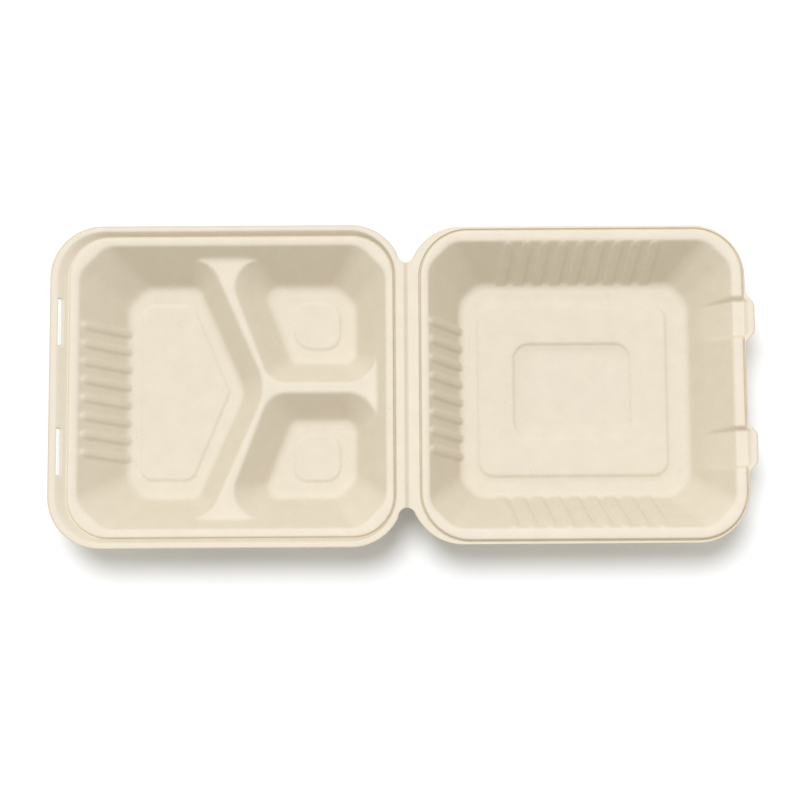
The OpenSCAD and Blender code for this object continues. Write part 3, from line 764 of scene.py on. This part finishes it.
def wall_ring(h):
    """Ring of the lid's inner face at height h over its floor."""
    return level_ring(eight(**lid_foot) + draft(h, lid_lean, floor_bend),
                      lid_foot_r + lid_radius * h, sheet + h)


def square(middle_x, long, wide, r, grow=0.0):
    """Sides of a rounded rectangle of the lid's floor, as (distances, radius)."""
    return (eight(middle_x - long / 2 - grow, wide / 2 + grow, middle_x + long / 2 + grow,
                  ROUND * (r + grow)), r + grow)


edge_line = outline(lid_half, lid_length, lid_sides, lid_corner)
edge_line[:, 0] += np.where(edge_line[:, 0] > lid_length - 1, tongue(edge_line[:, 1]), 0)
lip_inner = rim_ring(lid_rim[0], lid_half, lid_length, lid_sides, lid_corner)
rows = lip_rows(edge_line, lip_inner, rim_z, (0, 0.15, 0.3, 0.42, 0.53, 0.63, 0.73, 0.83, 0.93))
places = [0.75, 0.86, 0.98, 1.1, 1.25, 1.4, 1.55, 1.75, 2.0, 2.3, 2.7, 3.2, 4.4, 5.8, 6.8, 7.5, 8.0]
for row in sampled(lid_rim, places):
    plan = rim_ring(row, lid_half, lid_length, lid_sides, lid_corner)
    rows.append(np.column_stack([plan, np.full(len(plan), rim_z - row[3])]))
bend_top = floor_bend * (1 - math.cos(math.atan(1 / lid_lean[4])))
rows += [wall_ring(h) for h in np.linspace(rim_z - lid_rim[-1, 3] - sheet, bend_top, 21)]
rows += [wall_ring(bend_top * (1 - t) ** 2) for t in np.linspace(0, 1, 8)[1:]]
rows.append(level_ring(*square(*lid_panel, 5), sheet))
rows += [level_ring(*square(*lid_panel, outer_step * grow - step_shift),
                    sheet + rise * lid_panel_rise) for grow, rise in step_up]
rows += [level_ring(*square(*lid_field, grow), sheet + lid_panel_rise) for grow in (16, 8)]
rows += [level_ring(*square(*lid_field, -inner_step * grow), sheet + rise * lid_panel_rise)
         for grow, rise in step_up[::-1]]
centre = rows[-1].mean(0)
for left in (0.75, 0.45, 0.2)[:3 if len(rows) % 2 == 0 else 2]:  # an odd number of rows in all
    rows.append(centre + (rows[-1] - centre) * left)
rows = np.array(rows)
lid_points = rows.reshape(-1, 3)
lid_points[:, 2] = lid_ribbed(*lid_points.T)
lid_points[:, 2] = chuted(*lid_points.T)
lid_loops = np.arange(len(lid_points)).reshape(rows.shape[:2])
print("lid:", rows.shape[0], "rows of", rows.shape[1], "points")
lid = sheet_object("lid_sheet", lid_points, lid_loops)

# %% [markdown]
# ## The crease
# On the real box the sheet runs through from half to half. Here a narrow band inside the two sheets
# bridges them.

# %% Crease band
across = np.array([-2.2, -0.6, -0.3, -0.2, -0.1, 0, 0.1, 0.2, 0.3, 0.6, 2.2])
along = np.linspace(-strip_half + 0.3, strip_half - 0.3, 41)
band_x, band_y = np.meshgrid(across, along)
heights = [rim_z - 0.3 - 0.06 * np.exp(-(band_x / 0.25) ** 2), np.full_like(band_x, rim_z - 0.55)]
layers = [np.stack([fold_x + band_x, band_y, h], -1).reshape(-1, 3) for h in heights]
index = np.arange(band_x.size).reshape(band_x.shape)
rim_loop = round_trip(index, (0, len(along) - 1, 0, len(across) - 1))
next_loop = np.roll(rim_loop, -1)
side = np.stack([rim_loop, rim_loop + index.size, next_loop + index.size, next_loop], -1)
band_faces = np.concatenate([quads(index), quads(index)[:, ::-1] + index.size, side])
band_mesh = bpy.data.meshes.new("crease")
band_mesh.from_pydata(np.concatenate(layers) * MM, [], band_faces.tolist())
band_mesh.update()
for value in ("lean", "trim"):
    note(band_mesh, value, np.zeros(2 * index.size))
crease = bpy.data.objects.new("crease", band_mesh)
bpy.context.scene.collection.objects.link(crease)
print("crease", len(band_mesh.vertices), "points")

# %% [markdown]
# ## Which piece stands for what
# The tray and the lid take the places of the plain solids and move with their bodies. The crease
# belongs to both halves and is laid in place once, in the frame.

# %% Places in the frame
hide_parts("base")
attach(tray, "tray")
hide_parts("lid")
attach(lid, "cover")
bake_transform(crease)
print("placed:", tray.name, lid.name, crease.name)

# %% [markdown]
# ## Pressed plant fibre
# A warm ivory, quite matt. Short curly fibres and fine grain show close up, with a few darker
# flecks, and the cut edge is a deeper brown. The leaning walls are painted a shade deeper and
# warmer, which is painted shade and painted warm bounce light. The floors are painted darker the
# lower they lie, and a thin dark line beside the fold is the painted shade of a score groove; both
# are painted shade as well. All of it is made from noise in the object's own coordinates, so it
# stays in place on the sheet when the lid turns.

# %% The finish: helpers
fibre = bpy.data.materials.new("pressed_fibre")
fibre.use_nodes = True
tree = fibre.node_tree
shader = tree.nodes["Principled BSDF"]


def add(kind, links=(), **settings):
    """Adds a node, sets its properties, links the given outputs to its inputs in order and
    returns it."""
    node = tree.nodes.new(kind)
    for key, value in settings.items():
        setattr(node, key, value)
    for socket, source in links:
        if isinstance(source, (int, float, tuple)):
            node.inputs[socket].default_value = source
        else:
            tree.links.new(source, node.inputs[socket])
    return node


def maths(operation, a, b=0.0, c=0.0):
    """One step of arithmetic; returns its output."""
    return add("ShaderNodeMath", ((0, a), (1, b), (2, c)), operation=operation).outputs[0]


def noise(scale, detail, distortion=0.0):
    """Noise at so many features per metre of the object; returns values about 0.5."""
    return add("ShaderNodeTexNoise", (("Vector", place), ("Scale", scale), ("Detail", detail),
                                      ("Distortion", distortion))).outputs["Fac"]


def mixed(factor, a, b, blend="MIX"):
    """Mix of two colours; returns the colour."""
    node = add("ShaderNodeMix", ((0, factor), (6, a), (7, b)), data_type="RGBA", blend_type=blend)
    return node.outputs[2]


print("finish starts with", len(tree.nodes), "nodes")

# %% [markdown]
# ## The pattern and its colours
# Grain and mottling only lighten and darken the fibre by a few parts in a hundred. A thin curve
# where one noise passes its middle value makes a curly fibre, and a few cells of a Voronoi
# pattern make the flecks. Colour ramps would do as well, but these small sums are easier to read.

# %% The finish: pattern, colour and grain
# flat_fibre is the fibre's own colour; the walls' colour beside it is painted shade and painted
# warm bounce light.
flat_fibre, wall_painted_shade = (0.785, 0.722, 0.605, 1), (0.74, 0.668, 0.54, 1)
# The score line's colour is painted shade of its groove; the cut edge's colour is its own.
trim_fibre, score_painted_shade = (0.57, 0.48, 0.37, 1), (0.60, 0.49, 0.36, 1)
fleck_fibre = (0.55, 0.42, 0.26, 1)
floor_shade = 0.93                                # painted shade: how much darker the floors are painted than the rim
score_off, score_half = 1.2, 0.2                  # second line beside the fold, in mm

place = add("ShaderNodeTexCoord").outputs["Object"]
lean = add("ShaderNodeAttribute", attribute_name="lean").outputs["Fac"]
trim = add("ShaderNodeAttribute", attribute_name="trim").outputs["Fac"]
grain = noise(1500, 2)
mottle = noise(90, 3)
curl = noise(260, 2, 1.5)
off_middle = maths("ABSOLUTE", maths("SUBTRACT", curl, 0.5))
strand = maths("MULTIPLY", maths("SUBTRACT", 0.035, off_middle), 28.0)
strand = maths("MINIMUM", maths("MAXIMUM", strand, 0.0), 1.0)
cells = add("ShaderNodeTexVoronoi", (("Vector", place), ("Scale", 130.0)))
cell_colour = add("ShaderNodeSeparateColor", ((0, cells.outputs["Color"]),))
rare = maths("GREATER_THAN", cell_colour.outputs[0], 0.86)
fleck = maths("MULTIPLY", rare, maths("LESS_THAN", cells.outputs["Distance"], 0.055))
spot = add("ShaderNodeSeparateXYZ", ((0, place),))
across_fold = maths("SUBTRACT", spot.outputs[0], (fold_x + score_off) * MM)
scored = maths("LESS_THAN", maths("ABSOLUTE", across_fold), score_half * MM)

# Painted shade: the leaning walls get a darker, warmer colour in place of their shade and warm
# bounce light.
tone = mixed(lean, flat_fibre, wall_painted_shade)
tone = mixed(maths("MULTIPLY", trim, 0.55), tone, trim_fibre)
# Painted shade of the score groove: a thin dark line beside the fold.
tone = mixed(maths("MULTIPLY", scored, 0.35), tone, score_painted_shade)
tone = mixed(maths("MULTIPLY", fleck, 0.5), tone, fleck_fibre)
light_part = maths("MULTIPLY_ADD", maths("SUBTRACT", grain, 0.5), 0.16, 1.0)
light_part = maths("MULTIPLY_ADD", maths("SUBTRACT", mottle, 0.5), 0.09, light_part)
light_part = maths("MULTIPLY_ADD", strand, -0.028, light_part)
# Painted shade: the lower a point lies, the darker it is painted, down to floor_shade at the
# table's height.
depth_painted_shade = maths("MULTIPLY_ADD", spot.outputs[2], (1 - floor_shade) / (rim_z * MM), floor_shade)
light_part = maths("MULTIPLY", light_part, depth_painted_shade)
gray = add("ShaderNodeCombineColor", tuple((k, light_part) for k in range(3))).outputs[0]
tree.links.new(mixed(1.0, tone, gray, "MULTIPLY"), shader.inputs["Base Color"])
relief = maths("MULTIPLY_ADD", strand, 0.35, grain)
bump = add("ShaderNodeBump", (("Strength", 0.25), ("Distance", 0.00012), ("Height", relief)))
tree.links.new(bump.outputs[0], shader.inputs["Normal"])
shader.inputs["Roughness"].default_value = 0.88
shader.inputs["Specular IOR Level"].default_value = 0.3
for piece in (tray, lid, crease):
    piece.data.materials.append(fibre)
print("finish has", len(tree.nodes), "nodes")

# %% [markdown]
# ## The table
# A plain white table, light enough to show white where nothing shades it. It belongs to the
# stage, so it is no part of the box.

# %% Table
table_white = (0.955, 0.972, 0.99, 1)
bpy.ops.mesh.primitive_plane_add(size=6, location=(0, 0, 0))
table = bpy.context.object
table.name = "table"
white = bpy.data.materials.new("white_table")
white.use_nodes = True
white_shader = white.node_tree.nodes["Principled BSDF"]
white_shader.inputs["Base Color"].default_value = table_white
white_shader.inputs["Roughness"].default_value = 1.0
table.data.materials.append(white)
print("table on the stage")

# %% [markdown]
# ## The light
# A slightly warm room fills the shade and one broad, soft lamp stands above, behind and a
# little to the left. The lamp is a touch cooler, so that level faces come out neutral.

# %% Light
world = bpy.data.worlds.new("soft_room")
bpy.context.scene.world = world
world.use_nodes = True
room = world.node_tree.nodes["Background"]
room.inputs["Color"].default_value = (1, 0.962, 0.885, 1)
room.inputs["Strength"].default_value = 0.56
lamp_data = bpy.data.lights.new("window", "SUN")
lamp_data.energy = 2.0
lamp_data.color = (0.985, 1.0, 1.04)
lamp_data.angle = math.radians(30)
lamp = bpy.data.objects.new("window", lamp_data)
bpy.context.scene.collection.objects.link(lamp)
toward_light = Vector((-0.14, 0.35, 0.92)).normalized()
lamp.rotation_euler = toward_light.to_track_quat("Z", "Y").to_euler()
print("light comes from", [round(c, 2) for c in toward_light])

# %% [markdown]
# ## The camera
# It looks almost straight down from 1.3 m, through a long lens, leaning seven degrees towards
# the front. The angles were fitted to the photograph.

# %% Camera
camera_data = bpy.data.cameras.new("camera")
camera_data.lens, camera_data.sensor_width = 90.0, 36.0
camera = bpy.data.objects.new("camera", camera_data)
bpy.context.scene.collection.objects.link(camera)
bpy.context.scene.camera = camera
target = Vector((fold_x - 4.12, -10.24, rim_z)) * MM
azimuth, elevation, roll = (math.radians(a) for a in (0.664, 83.009, 0.312))
away = 1.3                                        # metres from the camera to its target
look = Vector((math.sin(azimuth) * math.cos(elevation), math.cos(azimuth) * math.cos(elevation),
               -math.sin(elevation)))
level = Vector((math.cos(azimuth), -math.sin(azimuth), 0))
upward = level.cross(look)
right = level * math.cos(roll) + upward * math.sin(roll)
upward = right.cross(look)
turn = Matrix((right, upward, -look)).transposed().to_4x4()
camera.matrix_world = Matrix.Translation(target - look * away) @ turn
camera_data.clip_end = 50
bpy.context.scene.view_settings.view_transform = "Standard"
print("camera at", [round(c, 3) for c in camera.matrix_world.translation])

# %% Update the view layer
bpy.context.view_layer.update()
